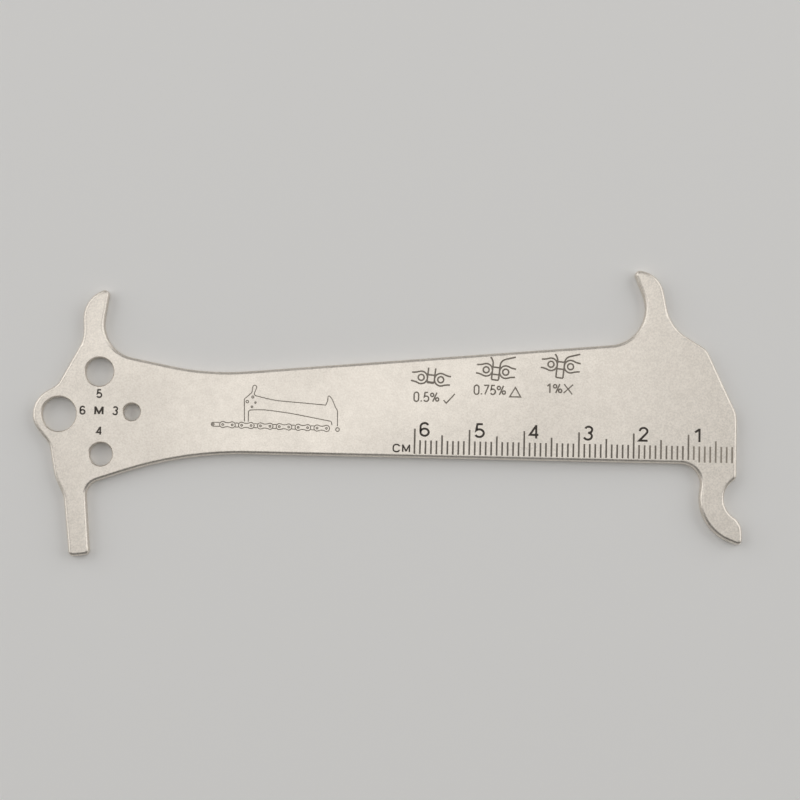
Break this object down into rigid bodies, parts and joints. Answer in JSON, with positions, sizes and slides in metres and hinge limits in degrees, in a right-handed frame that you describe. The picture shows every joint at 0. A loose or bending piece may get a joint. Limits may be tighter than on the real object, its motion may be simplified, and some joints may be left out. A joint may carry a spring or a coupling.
{
  "type": "chain wear gauge",
  "caption": "Flat steel bicycle chain wear gauge: a hooked foot with a roller seat, a ruler edge, a tapered blade, a probe leg, an upper hook and spike, and screw size holes.",
  "frame": {"origin": "bottom centre of the bounding box, on the unmarked underside", "axes": "+X along the ruler edge from the probe leg to the foot, +Y from the chain side to the upper edge, +Z out of the marked face"},
  "size_m": [0.13, 0.0546, 0.002],
  "materials": {
    "steel": "satin tumbled stainless steel with laser marks on one face"
  },
  "bodies": {
    "root": {"gauge_plate": "steel"}
  },
  "joints": []
}
